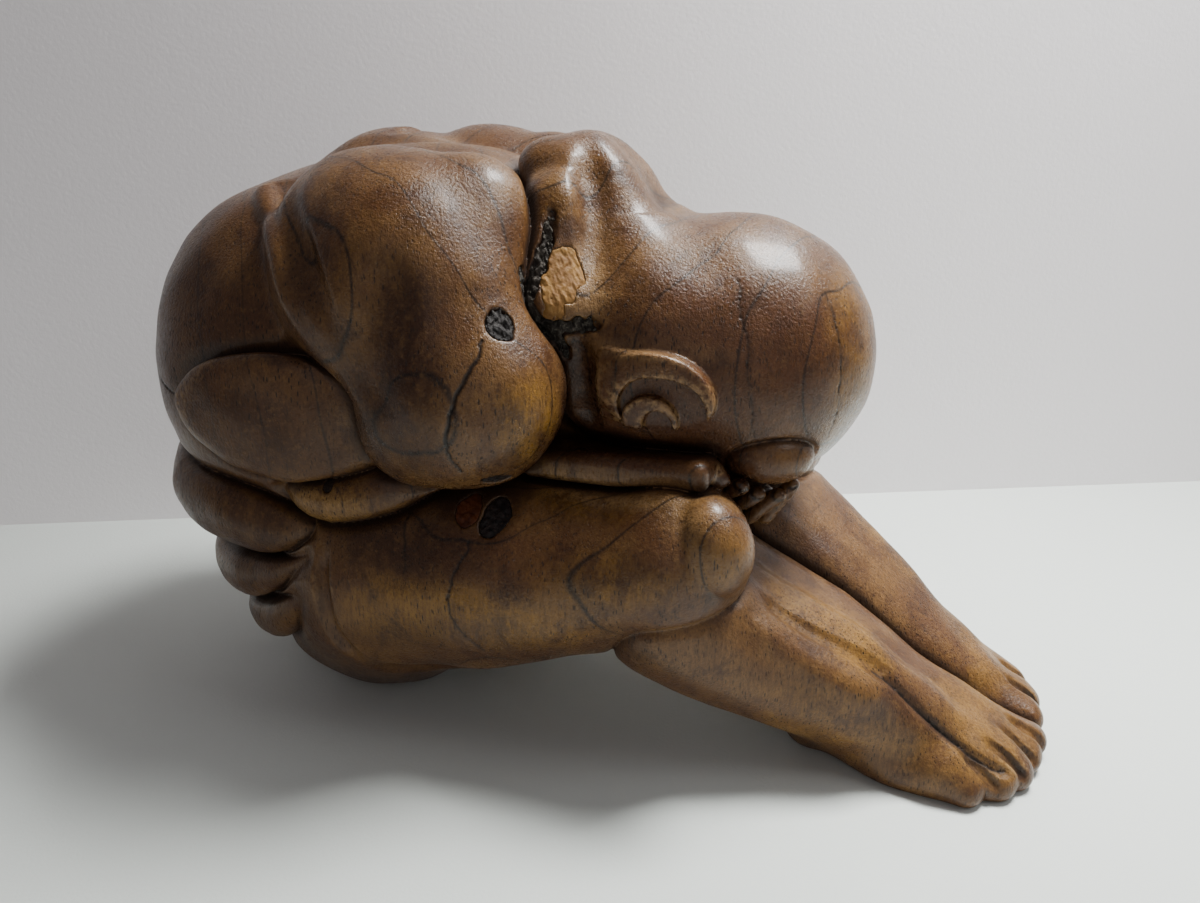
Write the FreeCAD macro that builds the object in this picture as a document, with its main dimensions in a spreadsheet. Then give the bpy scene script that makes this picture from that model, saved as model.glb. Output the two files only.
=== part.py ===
"""A crouching figure carved from one block of wood, with the knots, bark and fillers set in it.

The figure sits on the ground with its thighs drawn up and its head bowed face down on its hands.
Both feet are flat on the ground. The block is the union of rounded anatomical masses. The
knots, the bark seam, the fillers and the peg are pieces of their own that lie flush in pockets.

Frame, in millimetres: origin at the bottom centre of the whole figure, +X forward (towards the
toes), +Y towards the figure's left side, +Z up. The ground is the plane Z = 0.
"""
import FreeCAD, Part
import os

RIGHT, LEFT = -1, 1
SIDE_NAMES = {RIGHT: "right", LEFT: "left"}

doc = FreeCAD.newDocument("crouching_figure")
sheet = doc.addObject("Spreadsheet::Sheet", "sheet")
sheet_rows = 0


# ---------------------------------------------------------------- driving dimensions
def store(alias, value):
    """Writes one number to the next row of the sheet and names its cell."""
    global sheet_rows
    sheet_rows += 1
    cell = f"B{sheet_rows}"
    sheet.set(f"A{sheet_rows}", alias)
    sheet.set(cell, str(value))
    sheet.setAlias(cell, alias)


def store_point(name, point):
    """Writes a place as forward, outward (away from the middle plane) and up."""
    for axis, value in zip(("forward", "outward", "up"), point):
        store(f"{name}_{axis}", value)


def store_halves(name, halves):
    """Writes an ellipsoid's half length, half width and half height."""
    for axis, value in zip(("half_length", "half_width", "half_height"), halves):
        store(f"{name}_{axis}", value)


store("enlargement", 1.0)      # multiplies every size and place
store("fit_gap", 0.15)         # glue line between a set-in piece and its pocket
store("bench_size", 500)       # cutting box that flattens the seat and the soles

# Landmarks of the body. Each is given once, and every mass that meets there uses it.
LANDMARKS = {
    "hip": (-73, 32, 55),
    "right_knee": (39, 46, 74),
    "left_knee": (53, 40, 76),
    "right_ankle": (121, 26, 22),
    "left_ankle": (125, 24, 20),
    "heel": (91, 24, 11),
    "wrist": (55, 36, 109),
    "elbow": (-22, 46, 104),
    "neck_top": (-5, 12, 198),
    "neck_side": (3, 38, 154),
    "nape_top": (11, 8, 191),
    "nape_side": (27, 32, 157),
    "between_knees": (40, 0, 60),
    "between_feet": (148, 0, 10),
}
for landmark, place in LANDMARKS.items():
    store_point(landmark, place)

# Ellipsoidal masses on the middle plane: centre, half sizes.
MIDDLE_MASSES = {
    "ribcage": ((-97, 0, 118), (77, 62, 82)),
    "upper_back": ((-61, 0, 150), (74, 58, 60)),
    "belly": ((-41, 0, 110), (55, 50, 70)),
    "neck": ((-1, 0, 162), (24, 36, 50)),
    "skull": ((50, 0, 139), (49.5, 47, 48)),
    "skull_back": ((21, 0, 137), (42, 45, 36)),
    "lap": ((33, 0, 84), (30, 22, 18)),
}

# Ellipsoidal masses on both sides: centre, half sizes.
SIDE_MASSES = {
    "flank": ((-105, 30, 128), (58, 40, 66)),
    "shoulder": ((-43, 44, 165), (40, 37, 45)),
    "shoulder_blade": ((-71, 42, 164), (38, 32, 41)),
    "upper_arm": ((-28, 56, 136), (35, 30, 35)),
    "buttock": ((-83, 26, 44), (50, 38, 46)),
    "brow": ((67, 26, 109), (15, 15, 10)),
    "ear": ((34, 44, 137), (19, 7, 13)),
    "waist_fold": ((-93, 49, 114), (50, 23, 28)),
}

# Rounded limbs on both sides: the landmarks or places they join, and the radius at each end.
LIMBS = {
    "thigh": ("hip", "knee", 46, 27),
    "forearm": ("elbow", "wrist", 11, 9),
    "neck_tendon": ("neck_top", "neck_side", 12, 13),
    "nape_tendon": ("nape_top", "nape_side", 11, 14),
}

# Shin, calf and knee cap are set off from the leg's own landmarks.
LEG_SIZES = {
    "shin_knee_radius": 25,
    "shin_ankle_radius": 17,
    "calf_knee_drop": 14,
    "calf_ankle_back": 14,
    "calf_ankle_drop": 9,
    "calf_knee_radius": 20,
    "calf_ankle_radius": 14,
    "kneecap_forward": 4,
    "kneecap_rise": 6,
    "heel_radius": 12,
    "instep_radius": 16,
    "ball_forward": 123,
    "ball_up": 13,
    "ball_radius": 11,
}
for size, value in LEG_SIZES.items():
    store(size, value)
store_halves("kneecap", (24, 25, 29))

# Toe tips, from the big toe outwards: forward, outward, radius.
TOES = {
    RIGHT: [(172, 8, 6.5), (168, 20, 5.5), (164, 30, 5.5), (158, 39, 5.5), (148, 47, 6)],
    LEFT: [(173, 5, 6.5), (173, 16, 5.5), (169, 27, 5.5), (163, 37, 5.5), (156, 46, 6)],
}

# Folds of the waist cloth below the largest one: places along each fold, and radii there.
CLOTH_FOLDS = {
    "upper_fold": ([(-145, 22, 94), (-133, 44, 78), (-99, 58, 66)], [22, 20, 16]),
    "middle_fold": ([(-135, 16, 58), (-125, 38, 48), (-107, 56, 50)], [14, 13, 11]),
    "lower_fold": ([(-127, 16, 38), (-117, 38, 34), (-101, 54, 42)], [12, 11, 9]),
}

# The wood left between the two legs: its radius at the knees and between the feet.
store("web_knee_radius", 17)
store("web_foot_radius", 8)

# Fingers of each hand, from the thumb forwards: knuckle, tip, radius at each end.
FINGERS = [
    ((52, 38, 105), (64, 37, 101), 7.5, 6.5),
    ((56, 34, 90), (70, 33, 100), 5.0, 4.6),
    ((63, 33, 88), (77, 31, 98), 4.8, 4.4),
    ((70, 31, 89), (82, 28, 98), 4.4, 4.0),
]

# Pieces set in the block. Each core is an ellipsoid centred on the wood's surface: place, half
# sizes (up and down, across, into the wood), then the yaw and the tilt of its inward axis.
INSERTS = {
    "shoulder_knot": ((-8, -71, 160.8), (5.4, 5.0, 7.0), 136, 117),
    "neck_knot": ((2.4, -45, 165.8), (10.0, 5.5, 7.0), 90, 121),
    "neck_bark": ((-8, -40, 173), (17.0, 3.5, 12.0), 84, 118),
    "thigh_filler": ((-24.2, -61.4, 94.4), (6.5, 3.6, 6.0), 84, 141),
    "thigh_dark_plug": ((-15.6, -62.3, 94.5), (8.0, 3.8, 6.0), 86, 140),
    "armpit_filler": ((-12.1, -70.3, 109.6), (2.6, 5.0, 5.0), 130, 44),
}
PEG_PLACE = (-66.5, -72, 102.9)
PEG_YAW = 92
PEG_TILT = 74
store("peg_radius", 1.7)
store("peg_length", 12)


# ---------------------------------------------------------------- expressions and solids
def scaled(alias, factor=1):
    """The expression for a cell's number at the figure's size."""
    return f"{factor} * sheet.{alias} * sheet.enlargement"


def place_of(name, side=1):
    """The expressions of a stored place's three coordinates, on the given side."""
    return [scaled(f"{name}_forward"), scaled(f"{name}_outward", side), scaled(f"{name}_up")]


def position(place, yaw="0", tilt="0"):
    """A placement expression: turned about Z by yaw after a tilt about Y."""
    return f"placement(vector({'; '.join(place)}); rotation({yaw}; {tilt}; 0))"


def ball(name, place, radius):
    solid = doc.addObject("Part::Sphere", name)
    solid.setExpression("Radius", radius)
    solid.setExpression("Placement", position(place))
    return solid


def ellipsoid(name, place, halves, yaw="0", tilt="0"):
    """halves are expressions along the solid's own X, Y and Z."""
    solid = doc.addObject("Part::Ellipsoid", name)
    solid.Angle1 = -90
    solid.Angle2 = 90
    solid.Angle3 = 360
    solid.setExpression("Radius2", halves[0])
    solid.setExpression("Radius3", halves[1])
    solid.setExpression("Radius1", halves[2])
    solid.setExpression("Placement", position(place, yaw, tilt))
    return solid


def limb(name, start, end, start_radius, end_radius):
    """A cone between two balls. start and end are lists of three expressions."""
    along = [f"({b}) - ({a})" for a, b in zip(start, end)]
    length = "sqrt(" + " + ".join(f"({d}) ^ 2" for d in along) + ")"
    yaw = f"atan2({along[1]}; {along[0]})"
    tilt = f"acos(({along[2]}) / {length})"
    shaft = doc.addObject("Part::Cone", f"{name}_shaft")
    shaft.setExpression("Radius1", start_radius)
    shaft.setExpression("Radius2", end_radius)
    shaft.setExpression("Height", length)
    shaft.setExpression("Placement", position(start, yaw, tilt))
    return [shaft, ball(f"{name}_start", start, start_radius), ball(f"{name}_end", end, end_radius)]


def ellipsoid_mass(name, centre, halves, sides):
    """Stores a mass's numbers once and makes it on each of the given sides."""
    store_point(name, centre)
    store_halves(name, halves)
    half = [scaled(f"{name}_half_{size}") for size in ("length", "width", "height")]
    if sides == (0,):
        return [ellipsoid(name, place_of(name), half)]
    return [ellipsoid(f"{SIDE_NAMES[s]}_{name}", place_of(name, s), half) for s in sides]


# ---------------------------------------------------------------- parts of the body
def torso_arms_and_head():
    solids = []
    for name, (centre, halves) in MIDDLE_MASSES.items():
        solids += ellipsoid_mass(name, centre, halves, (0,))
    for name, (centre, halves) in SIDE_MASSES.items():
        solids += ellipsoid_mass(name, centre, halves, (RIGHT, LEFT))
    return solids


def plain_limbs(side):
    """The thigh, forearm and neck tendons of one side."""
    solids = []
    for name, (start, end, start_radius, end_radius) in LIMBS.items():
        if side == RIGHT:
            store(f"{name}_start_radius", start_radius)
            store(f"{name}_end_radius", end_radius)
        if end == "knee":
            end = f"{SIDE_NAMES[side]}_knee"
        radii = scaled(f"{name}_start_radius"), scaled(f"{name}_end_radius")
        solids += limb(f"{SIDE_NAMES[side]}_{name}", place_of(start, side), place_of(end, side), *radii)
    return solids


def lower_leg(side):
    """Shin, calf, knee cap and instep of one leg."""
    who = SIDE_NAMES[side]
    knee = place_of(f"{who}_knee", side)
    ankle = place_of(f"{who}_ankle", side)
    calf_knee = [knee[0], knee[1], f"{knee[2]} - {scaled('calf_knee_drop')}"]
    calf_ankle = [
        f"{ankle[0]} - {scaled('calf_ankle_back')}",
        ankle[1],
        f"{ankle[2]} - {scaled('calf_ankle_drop')}",
    ]
    cap = [f"{knee[0]} + {scaled('kneecap_forward')}", knee[1], f"{knee[2]} + {scaled('kneecap_rise')}"]
    halves = [scaled(f"kneecap_half_{size}") for size in ("length", "width", "height")]
    solids = [ellipsoid(f"{who}_kneecap", cap, halves)]
    solids += limb(f"{who}_shin", knee, ankle, scaled("shin_knee_radius"), scaled("shin_ankle_radius"))
    solids += limb(
        f"{who}_calf", calf_knee, calf_ankle, scaled("calf_knee_radius"), scaled("calf_ankle_radius")
    )
    heel = place_of("heel", side)
    solids += limb(f"{who}_instep", heel, ankle, scaled("heel_radius"), scaled("instep_radius"))
    return solids


def toes(side):
    """Five toes that fan out from the ball of the foot."""
    who = SIDE_NAMES[side]
    fan = 0.45                       # how far each toe's root follows its tip outwards
    root_line = 22                   # outward place of the middle toe's root
    sole_sink = 0.9                  # a toe's centre is this share of its radius above the ground
    solids = []
    for number, (forward, outward, radius) in enumerate(TOES[side], start=1):
        name = f"{who}_toe_{number}"
        store_point(f"{name}_root", (0, root_line + fan * (outward - root_line), 0))
        store_point(f"{name}_tip", (forward - radius, outward, sole_sink * radius))
        store(f"{name}_radius", radius)
        root = [scaled("ball_forward"), scaled(f"{name}_root_outward", side), scaled("ball_up")]
        tip = place_of(f"{name}_tip", side)
        solids += limb(name, root, tip, scaled("ball_radius"), scaled(f"{name}_radius"))
    return solids


def fingers(side):
    """Thumb and fingers of one hand, pressed against the brow."""
    who = SIDE_NAMES[side]
    solids = []
    for number, (knuckle, tip, knuckle_radius, tip_radius) in enumerate(FINGERS, start=1):
        name = f"finger_{number}"
        if side == RIGHT:
            store_point(f"{name}_knuckle", knuckle)
            store_point(f"{name}_tip", tip)
            store(f"{name}_knuckle_radius", knuckle_radius)
            store(f"{name}_tip_radius", tip_radius)
        ends = place_of(f"{name}_knuckle", side), place_of(f"{name}_tip", side)
        radii = scaled(f"{name}_knuckle_radius"), scaled(f"{name}_tip_radius")
        solids += limb(f"{who}_{name}", *ends, *radii)
    return solids


def cloth_folds(side):
    """The rolled folds of the waist cloth at one hip."""
    who = SIDE_NAMES[side]
    solids = []
    for name, (places, radii) in CLOTH_FOLDS.items():
        for number, (place, radius) in enumerate(zip(places, radii), start=1):
            if side == RIGHT:
                store_point(f"{name}_{number}", place)
                store(f"{name}_{number}_radius", radius)
        for number in range(1, len(places)):
            ends = place_of(f"{name}_{number}", side), place_of(f"{name}_{number + 1}", side)
            sizes = scaled(f"{name}_{number}_radius"), scaled(f"{name}_{number + 1}_radius")
            solids += limb(f"{who}_{name}_{number}", *ends, *sizes)
    return solids


def leg_web():
    """The wood that joins the two legs along the middle plane."""
    ends = place_of("between_knees"), place_of("between_feet")
    return limb("leg_web", *ends, scaled("web_knee_radius"), scaled("web_foot_radius"))


def fused(name, solids):
    union = doc.addObject("Part::MultiFuse", name)
    union.Shapes = solids
    return union


def joined(name, first, second):
    union = doc.addObject("Part::Fuse", name)
    union.Base = first
    union.Tool = second
    return union


def all_masses():
    """The torso with one group of masses after another joined to it."""
    whole = fused("torso_and_head", torso_arms_and_head())
    for side in (RIGHT, LEFT):
        for make in (plain_limbs, lower_leg, toes, fingers, cloth_folds):
            group_name = f"{SIDE_NAMES[side]}_{make.__name__}"
            whole = joined(f"with_{group_name}", whole, fused(group_name, make(side)))
    return joined("with_leg_web", whole, fused("leg_web", leg_web()))


def whole_block():
    """All the masses as one solid, cut flat where it stands on the ground."""
    below = doc.addObject("Part::Box", "below_ground")
    for edge in ("Length", "Width", "Height"):
        below.setExpression(edge, scaled("bench_size"))
    half, full = scaled("bench_size", -0.5), scaled("bench_size", -1)
    below.setExpression("Placement", position([half, half, full]))
    block = doc.addObject("Part::Cut", "block")
    block.Base = all_masses()
    block.Tool = below
    return block


# ---------------------------------------------------------------- pieces set in the block
def insert_cores():
    """Each set-in piece's core and the slightly larger pocket for it."""
    cores, pockets = {}, []
    for name, (place, halves, yaw, tilt) in INSERTS.items():
        store_point(name, place)
        store_halves(name, halves)
        store(f"{name}_yaw", yaw)
        store(f"{name}_tilt", tilt)
        where = place_of(name)
        turn = f"sheet.{name}_yaw", f"sheet.{name}_tilt"
        half = [scaled(f"{name}_half_{size}") for size in ("length", "width", "height")]
        wider = [f"{expression} + sheet.fit_gap" for expression in half]
        cores[name] = ellipsoid(f"{name}_core", where, half, *turn)
        pockets.append(ellipsoid(f"{name}_pocket", where, wider, *turn))
    return cores, pockets


def peg_core_and_hole():
    """A round peg driven straight into the waist fold."""
    store_point("waist_peg", PEG_PLACE)
    store("waist_peg_yaw", PEG_YAW)
    store("waist_peg_tilt", PEG_TILT)
    made = []
    for name, extra in (("waist_peg_core", "0"), ("waist_peg_hole", "sheet.fit_gap")):
        round_bar = doc.addObject("Part::Cylinder", name)
        round_bar.setExpression("Radius", f"{scaled('peg_radius')} + {extra}")
        round_bar.setExpression("Height", f"{scaled('peg_length')} + {extra}")
        turn = "sheet.waist_peg_yaw", "sheet.waist_peg_tilt"
        round_bar.setExpression("Placement", position(place_of("waist_peg"), *turn))
        made.append(round_bar)
    return made


def flush_piece(name, core, block):
    """The part of a core that lies inside the block, so that its face is the block's face."""
    piece = doc.addObject("Part::Common", name)
    piece.Base = core
    piece.Tool = block
    return piece


block = whole_block()
cores, pockets = insert_cores()
peg_core, peg_hole = peg_core_and_hole()
cores["waist_peg"] = peg_core
pockets.append(peg_hole)

carved_figure = doc.addObject("Part::Cut", "carved_figure")
carved_figure.Base = block
carved_figure.Tool = fused("all_pockets", pockets)
pieces = [carved_figure] + [flush_piece(name, core, block) for name, core in cores.items()]
for piece in pieces:
    piece.Label = piece.Name


# ---------------------------------------------------------------- checks and export
def check(document):
    """Stops the build if any object failed or any piece is not one valid solid."""
    for item in document.Objects:
        if "Invalid" in item.State or "Error" in item.State:
            raise RuntimeError(f"{item.Name} did not recompute: {item.State}")
    for piece in pieces:
        shape = piece.Shape
        if shape.isNull() or not shape.isValid():
            raise RuntimeError(f"{piece.Label} has no valid shape")
        if len(shape.Solids) != 1:
            raise RuntimeError(f"{piece.Label} has {len(shape.Solids)} solids")


doc.recompute()
check(doc)
os.makedirs("parts", exist_ok=True)
for piece in pieces:
    piece.Shape.exportStep(os.path.join("parts", f"{piece.Label}.step"))
    box = piece.Shape.BoundBox
    print(
        f"{piece.Label}: {box.XMin:.1f}..{box.XMax:.1f}, {box.YMin:.1f}..{box.YMax:.1f}, "
        f"{box.ZMin:.1f}..{box.ZMax:.1f} mm, {piece.Shape.Volume / 1000:.2f} cm3"
    )
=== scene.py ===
"""A crouching figure carved from one block of polished hardwood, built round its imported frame.

The carving is modelled as clay: rounded forms are blended together and creases, folds, nails and
cracks are cut into them as signed distances, and the surface is then meshed. All carving sizes
are millimetres in the frame's own axes: +X towards the toes, +Y to the figure's left, +Z up.
"""
import math

import bpy
import numpy as np
import openvdb
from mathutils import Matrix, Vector

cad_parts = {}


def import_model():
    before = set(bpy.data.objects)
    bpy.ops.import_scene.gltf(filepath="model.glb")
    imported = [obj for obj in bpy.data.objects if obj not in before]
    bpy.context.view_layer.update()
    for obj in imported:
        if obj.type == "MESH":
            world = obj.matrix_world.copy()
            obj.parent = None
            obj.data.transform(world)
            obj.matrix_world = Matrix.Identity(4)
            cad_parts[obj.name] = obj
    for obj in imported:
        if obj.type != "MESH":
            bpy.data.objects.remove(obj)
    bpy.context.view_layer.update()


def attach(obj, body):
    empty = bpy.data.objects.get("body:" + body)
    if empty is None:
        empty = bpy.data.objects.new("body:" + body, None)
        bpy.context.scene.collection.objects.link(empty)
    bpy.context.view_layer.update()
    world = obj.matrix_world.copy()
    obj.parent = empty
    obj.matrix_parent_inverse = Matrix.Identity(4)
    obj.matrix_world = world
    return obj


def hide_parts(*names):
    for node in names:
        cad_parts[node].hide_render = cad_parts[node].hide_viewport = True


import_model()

MM = 0.001
RIGHT, LEFT = -1, 1
FAR = 1e3                       # a distance that no carving reaches
VOXEL = 0.6
FINE_VOXEL = 0.3                # for the small inlays


# ------------------------------------------------------------------ forms
class Form:
    """A shape with a signed distance in mm, and the box outside which it may be left out."""

    def __init__(self, distance, low, high):
        self.distance = distance
        self.low = np.asarray(low, float)
        self.high = np.asarray(high, float)

    def reaches(self, low, high, margin):
        return bool(np.all(self.low - margin < high) and np.all(self.high + margin > low))


def turned(p, centre, turn):
    """Points in a form's own axes. turn is yaw, pitch (nose up) and roll in degrees."""
    q = [p[k] - np.float32(centre[k]) for k in range(3)]
    for angle, (a, b) in zip(turn, ((0, 1), (0, 2), (1, 2))):
        if angle:
            c = np.float32(math.cos(math.radians(angle)))
            s = np.float32(math.sin(math.radians(angle)))
            q[a], q[b] = c * q[a] + s * q[b], c * q[b] - s * q[a]
    return q


def ellipsoid(centre, half, turn=(0, 0, 0)):
    half = np.asarray(half, np.float32)

    def distance(p):
        x, y, z = turned(p, centre, turn)
        near = np.sqrt((x / half[0]) ** 2 + (y / half[1]) ** 2 + (z / half[2]) ** 2)
        slope = np.sqrt((x / half[0] ** 2) ** 2 + (y / half[1] ** 2) ** 2 + (z / half[2] ** 2) ** 2)
        return near * (near - 1) / (slope + np.float32(1e-6))

    reach = max(half) if any(turn) else half
    return Form(distance, np.asarray(centre) - reach, np.asarray(centre) + reach)


def limb(start, end, start_radius, end_radius):
    """A cone between two places with a ball at each end."""
    start, end = np.asarray(start, np.float32), np.asarray(end, np.float32)
    length = np.float32(np.linalg.norm(end - start))
    along = (end - start) / length
    taper = np.float32((start_radius - end_radius) / length)
    lean = taper / np.sqrt(max(1 - float(taper) ** 2, 1e-4)).astype(np.float32)

    def distance(p):
        q = [p[k] - start[k] for k in range(3)]
        y = q[0] * along[0] + q[1] * along[1] + q[2] * along[2]
        x2 = np.maximum(q[0] * q[0] + q[1] * q[1] + q[2] * q[2] - y * y, 0)
        t = np.clip(y - np.sqrt(x2) * lean, 0, length)
        return np.sqrt(x2 + (y - t) ** 2) - (np.float32(start_radius) - taper * t)

    reach = max(start_radius, end_radius)
    return Form(distance, np.minimum(start, end) - reach, np.maximum(start, end) + reach)


def slab(centre, half, rounding, turn=(0, 0, 0)):
    """A box with rounded edges."""
    half = np.asarray(half, np.float32)

    def distance(p):
        q = turned(p, centre, turn)
        e = [np.abs(q[k]) - (half[k] - np.float32(rounding)) for k in range(3)]
        outside = np.sqrt(sum(np.maximum(v, 0) ** 2 for v in e))
        return outside + np.minimum(np.maximum(e[0], np.maximum(e[1], e[2])), 0) - rounding

    reach = np.linalg.norm(half) if any(turn) else half
    return Form(distance, np.asarray(centre) - reach, np.asarray(centre) + reach)


class Patch:
    """Some places in space, as three arrays, with the box that holds them."""

    def __init__(self, x, y, z):
        self.places = (x, y, z)
        self.low = np.array([float(v.min()) for v in self.places])
        self.high = np.array([float(v.max()) for v in self.places])


MARGIN = 14                     # mm round a patch within which forms still matter


def distance_at(form, patch):
    if isinstance(form, Form):
        return form.distance(patch.places)
    return form.distance_at(patch)


def soft_min(a, b, blend):
    if not blend:
        return np.minimum(a, b)
    share = np.clip(np.float32(0.5) + (b - a) / np.float32(2 * blend), 0, 1)
    return b + (a - b) * share - np.float32(blend) * share * (1 - share)


class Group:
    """Some forms treated as one."""

    def __init__(self, forms):
        self.forms = list(forms)
        self.low = np.min([f.low for f in self.forms], axis=0)
        self.high = np.max([f.high for f in self.forms], axis=0)

    def reaches(self, low, high, margin):
        return any(f.reaches(low, high, margin) for f in self.forms)


class Changed:
    """A form made from another one, as far as that one reaches."""

    def __init__(self, body):
        self.body = body
        self.low, self.high = body.low, body.high

    def reaches(self, low, high, margin):
        return self.body.reaches(low, high, margin)


class Joined(Group):
    """Forms run into each other; blend is the width in mm of the soft seam between them."""

    def __init__(self, forms, blend):
        super().__init__(forms)
        self.blend = blend

    def distance_at(self, patch):
        result = None
        for form in self.forms:
            if form.reaches(patch.low, patch.high, MARGIN):
                d = distance_at(form, patch)
                result = d if result is None else soft_min(result, d, self.blend)
        return np.full_like(patch.places[0], FAR) if result is None else result


class Carved(Changed):
    """A form with others cut out of it; blend rounds the edges of the cut."""

    def __init__(self, body, tools, blend):
        super().__init__(body)
        self.tools, self.blend = list(tools), blend

    def distance_at(self, patch):
        result = distance_at(self.body, patch)
        for tool in self.tools:
            if tool.reaches(patch.low, patch.high, MARGIN):
                result = -soft_min(-result, distance_at(tool, patch), self.blend)
        return result


class Seamed(Group):
    """Forms set against each other, with a V-shaped seam pressed in along each line where they meet."""

    def __init__(self, forms, width, depth):
        super().__init__(forms)
        self.width, self.depth = np.float32(width), np.float32(depth)

    def distance_at(self, patch):
        result = None
        for form in self.forms:
            if form.reaches(patch.low, patch.high, MARGIN):
                d = distance_at(form, patch)
                if result is None:
                    result = d
                else:
                    near = np.clip(1 - np.abs(result - d) / self.width, 0, 1)
                    result = np.minimum(result, d) + self.depth * near * near
        return np.full_like(patch.places[0], FAR) if result is None else result


class Raised(Changed):
    """What a form's surface would cover inside an outline if it stood out by some height.

    grow gives two forward places between which the height grows from a quarter to the whole.
    """

    def __init__(self, form, outline, height, blend, grow=None):
        super().__init__(outline)
        self.form, self.height, self.blend, self.grow = form, np.float32(height), blend, grow

    def distance_at(self, patch):
        height = self.height
        if self.grow:
            start, end = self.grow
            height = height * np.clip(0.25 + 0.75 * (patch.places[0] - start) / (end - start), 0.25, 1)
        top = distance_at(self.form, patch) - height
        return -soft_min(-top, -distance_at(self.body, patch), self.blend)


class Inside(Changed):
    """What two forms share when each is shrunk by some mm."""

    def __init__(self, body, other, shrink_body, shrink_other):
        super().__init__(body)
        self.other, self.shrink_body, self.shrink_other = other, shrink_body, shrink_other

    def distance_at(self, patch):
        return np.maximum(distance_at(self.body, patch) + np.float32(self.shrink_body),
                          distance_at(self.other, patch) + np.float32(self.shrink_other))


def bore(centre, half, turn=(0, 0, 0)):
    """An elliptical hole through the figure from side to side; half is forward, length, up."""
    def distance(p):
        x, y, z = turned(p, centre, turn)
        near = np.sqrt((x / half[0]) ** 2 + (z / half[2]) ** 2)
        ring = (near - 1) * np.float32(min(half[0], half[2]))
        return np.maximum(ring, np.abs(y) - np.float32(half[1]))

    reach = np.array([max(half[0], half[2]) + 1, half[1], max(half[0], half[2]) + 1])
    reach = np.full(3, reach.max()) if turn[0] or turn[2] else reach
    return Form(distance, np.asarray(centre) - reach, np.asarray(centre) + reach)


def smooth_line(places, steps=6):
    """A Catmull-Rom curve through given places."""
    pts = [np.asarray(p, float) for p in places]
    pts = [2 * pts[0] - pts[1]] + pts + [2 * pts[-1] - pts[-2]]
    line = []
    for a, b, c, d in zip(pts, pts[1:], pts[2:], pts[3:]):
        for i in range(steps):
            t = i / steps
            line.append(0.5 * (2 * b + (c - a) * t + (2 * a - 5 * b + 4 * c - d) * t**2
                               + (3 * b - a - 3 * c + d) * t**3))
    line.append(pts[-2])
    return line


def cord_of(places, radii, steps=4):
    """A rounded tube along a smooth line; radii are given at each of the places."""
    line = smooth_line(places, steps)
    at = np.linspace(0, len(places) - 1, len(line))
    sizes = np.interp(at, range(len(places)), radii)
    return Joined([limb(a, b, r, s) for a, b, r, s in zip(line, line[1:], sizes, sizes[1:])], 0)


def both(make):
    """The same form on the figure's right and left."""
    return [make(RIGHT), make(LEFT)]


def side(s, places):
    """Places given as forward, outward, up, put on the figure's right or left."""
    return [(x, s * out, z) for x, out, z in places]


def slope_at(form, p):
    """The form's distance at some places, and the unit direction in which it grows."""
    reach = 0.5

    def at(q):
        return distance_at(form, Patch(*q.T.astype(np.float32))).astype(float)

    here = at(p)
    slope = np.stack([at(p + reach * axis) - here for axis in np.eye(3)], 1)
    return here, slope / (np.linalg.norm(slope, axis=1, keepdims=True) + 1e-9)


def laid_on(form, line, offset):
    """A line moved onto the form's surface, each place its own offset in mm outside it."""
    p = np.array(line, float)
    for _ in range(5):
        d, slope = slope_at(form, p)
        p -= slope * (0.9 * np.clip(d - offset, -6, 6))[:, None]
    return p


def follow(form, places, radius, height, fade, steps):
    """A tube laid along a surface line; height is how far it stands out of the surface."""
    line = smooth_line(places, steps)
    t = np.linspace(0, 1, len(line))
    share = np.clip(np.minimum(t, 1 - t) / fade, 0, 1) if fade else np.ones(len(t))
    ends = (1 - share) * 1.5
    offset = height * share - radius - ends if height > 0 else radius + height * share + ends
    line = laid_on(form, line, offset)
    return Joined([limb(a, b, radius, radius) for a, b in zip(line, line[1:])], 0)


def groove(form, places, radius, depth, fade=0.2, steps=5):
    return follow(form, places, radius, -depth, fade, steps)


def ridge(form, places, radius, height, fade=0.2, steps=5):
    return follow(form, places, radius, height, fade, steps)


# ------------------------------------------------------------------ the figure
SPINE = [(-130, 2, 205), (-90, 2, 216), (-40, 2, 219), (-14, 2, 218)]
FLANK_VALLEY = [(-79, 52, 202), (-80, 62, 192), (-75, 71, 183), (-70, 75, 175), (-64, 78, 166),
                (-60, 78, 157), (-57, 78, 150)]
FLANK_RIDGE = [(-96, 34, 203), (-107, 38, 196), (-102, 46, 189), (-91, 60, 183), (-83, 68, 176),
               (-79, 72, 168), (-76, 73, 160), (-72, 73, 152)]


def back():
    masses = [
        ellipsoid((-97, 0, 118), (77, 62, 82)),
        ellipsoid((-61, 0, 150), (74, 56, 60)),
        ellipsoid((-41, 0, 110), (55, 50, 70)),
        ellipsoid((-92, 30, 168), (46, 36, 46)),
    ] + both(lambda s: ellipsoid((-105, s * 30, 128), (58, 40, 66)))
    body = Joined(masses, 14)
    return Carved(body, [cord_of(SPINE, [9, 10, 11, 10])], 6)


def arm(s):
    """A shoulder and upper arm; the left shoulder is broader and higher."""
    top = 164 if s == RIGHT else 170
    shoulder = ((-51, -42, top), (42, 39, 44)) if s == RIGHT else ((-57, 42, top), (50, 39, 45))
    masses = [
        ellipsoid(*shoulder),
        ellipsoid((-28, s * 38, top + 14), (20, 19, 28)),
        ellipsoid((-38, s * 48, 150), (34, 32, 38)),
        ellipsoid((-29, s * 56, 134), (35, 29, 33)),
        ellipsoid((-66, s * 42, 165), (36, 32, 42)),
        ellipsoid((-41, s * 55, 120), (24, 23, 20)),
    ]
    return Joined(masses, 7)


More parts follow.
